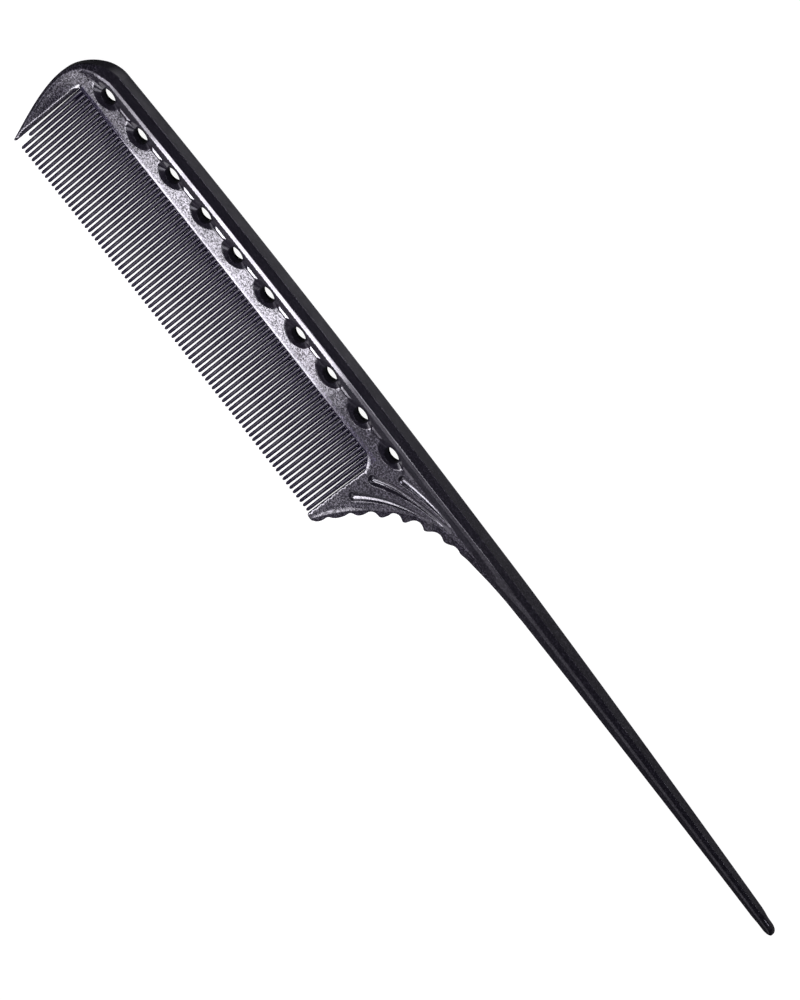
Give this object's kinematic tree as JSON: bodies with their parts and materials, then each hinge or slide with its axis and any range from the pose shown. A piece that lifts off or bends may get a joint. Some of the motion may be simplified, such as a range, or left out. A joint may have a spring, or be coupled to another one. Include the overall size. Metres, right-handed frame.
{
  "type": "rat tail comb",
  "caption": "One-piece moulded rat tail comb: fine teeth under a perforated web and back rib, guard tooth, grooved heel with finger scallops, tapered tail.",
  "frame": {"origin": "middle of the rear rest land, the flat crest of the back rib's rear face, where the comb lies on a table", "axes": "+X along the comb from the front guard to the tail tip, +Y from the tooth tips towards the back line, +Z out of the front face"},
  "size_m": [0.2201, 0.0346, 0.0045],
  "materials": {
    "rib_plastic": "satin graphite black with a fine mould grain",
    "face_plastic": "fine speckled mould grain, graphite black",
    "tooth_plastic": "polished graphite black with a faint violet tint",
    "tail_plastic": "satin graphite black, worn smooth by the hand"
  },
  "bodies": {
    "root": {"back_rib": "rib_plastic", "hole_web": "face_plastic", "front_guard": "face_plastic", "lead_tooth": "tooth_plastic", "tooth_row_front": "tooth_plastic", "tooth_row_middle": "tooth_plastic", "tooth_row_rear": "tooth_plastic", "heel_guard": "face_plastic", "finger_grip": "face_plastic", "tail_neck": "tail_plastic", "tail_shank": "tail_plastic", "tail_tip": "tail_plastic"}
  },
  "joints": []
}
